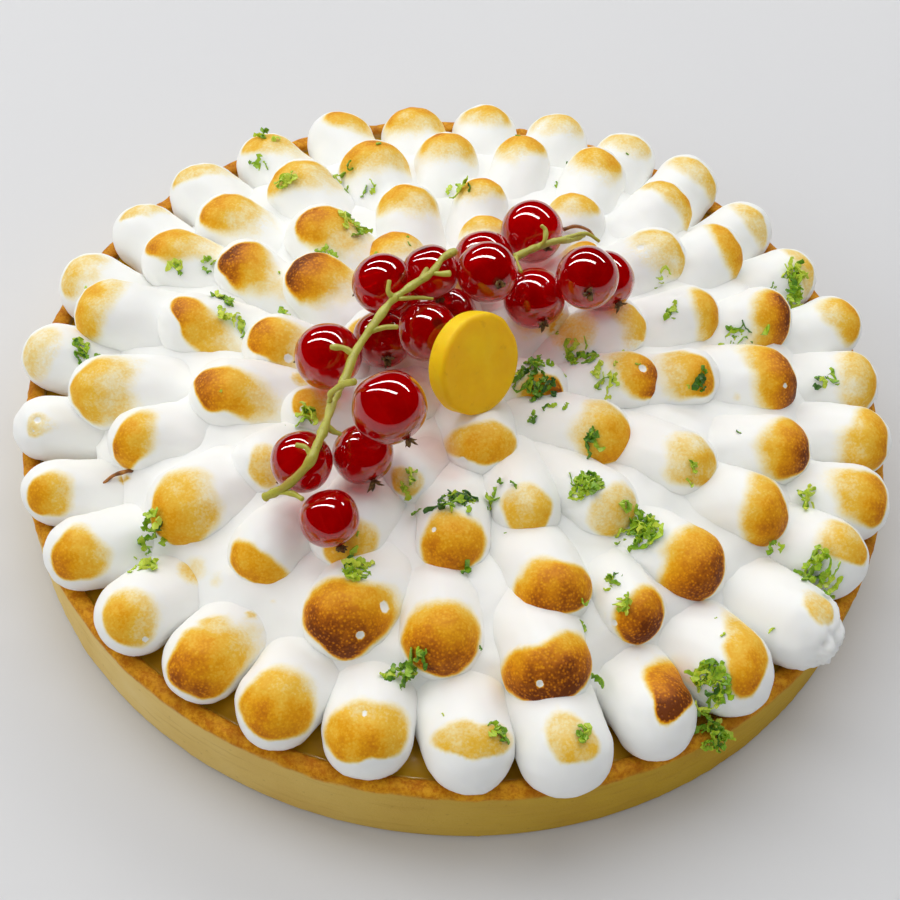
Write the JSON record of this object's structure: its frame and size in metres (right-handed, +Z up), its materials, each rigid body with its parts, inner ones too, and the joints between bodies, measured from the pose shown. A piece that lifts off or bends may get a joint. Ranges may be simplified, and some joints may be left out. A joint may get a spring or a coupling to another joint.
{
  "type": "lemon meringue pie",
  "caption": "Small round lemon meringue pie: shortcrust case, lemon curd, torched piped meringue, redcurrants on their stalks, lime zest and a lemon disc.",
  "frame": {"origin": "centre of the crust's flat underside, on the case's axis", "axes": "+Z up through the pie; -Y is the front, the side the lemon disc looks towards; +X to the right"},
  "size_m": [0.1608, 0.16, 0.0515],
  "materials": {
    "crust": "baked shortcrust, matt and finely grained",
    "curd": "set lemon curd, smooth and softly glossy",
    "meringue": "soft meringue, satin white with torched golden-brown heads",
    "currant": "ripe redcurrant skin, glossy and translucent deep red",
    "strig": "fresh yellow-green fruit stalk, matt",
    "lemon_disc": "yellow lemon confection, smooth and matt"
  },
  "bodies": {
    "root": {"crust": "crust", "curd": "curd", "meringue": "meringue", "currant_01": "currant", "currant_02": "currant", "currant_03": "currant", "currant_04": "currant", "currant_05": "currant", "currant_06": "currant", "currant_07": "currant", "currant_08": "currant", "currant_09": "currant", "currant_10": "currant", "currant_11": "currant", "currant_12": "currant", "currant_13": "currant", "currant_14": "currant", "currant_15": "currant", "currant_16": "currant", "currant_17": "currant", "main_strig": "strig", "side_strig": "strig", "lemon_disc": "lemon_disc"}
  },
  "joints": []
}
